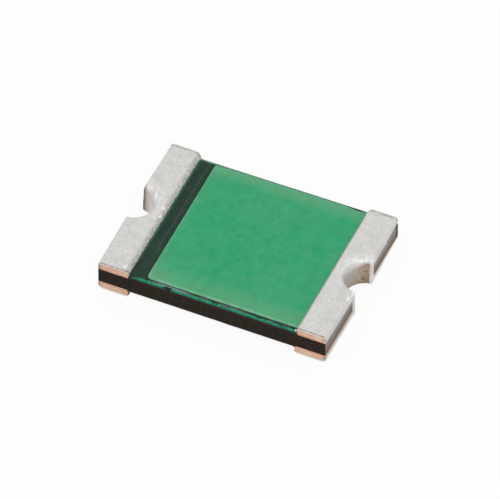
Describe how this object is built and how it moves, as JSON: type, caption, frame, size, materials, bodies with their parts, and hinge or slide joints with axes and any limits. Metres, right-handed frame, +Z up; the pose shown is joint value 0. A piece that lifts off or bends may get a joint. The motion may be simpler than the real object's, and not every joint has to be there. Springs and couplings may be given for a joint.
{
  "type": "resettable fuse",
  "caption": "Flat surface-mount resettable fuse: a conductive-polymer chip with a green coat between tinned half-moon terminals that wrap both ends.",
  "frame": {"origin": "centre of the bounding box's underside, on the plane that the lower pads stand on", "axes": "+X along the chip from the end with the etched gap in its upper face to the other end, +Y across it to its back long side, +Z up, out of the upper face"},
  "size_m": [0.0046, 0.0032, 0.0007],
  "materials": {
    "polymer": "sawn, carbon-filled polymer",
    "foil": "copper foil, sawn edge",
    "copper": "plated copper, sawn edge",
    "tin": "matte electroplated tin",
    "mask": "semi-gloss printed coat"
  },
  "bodies": {
    "root": {"ptc_core": "polymer", "upper_foil_electrode": "foil", "upper_foil_land": "foil", "lower_foil_electrode": "foil", "lower_foil_land": "foil", "left_terminal_copper": "copper", "right_terminal_copper": "copper", "left_terminal_tin": "tin", "right_terminal_tin": "tin", "upper_solder_mask": "mask", "lower_solder_mask": "mask"}
  },
  "joints": []
}
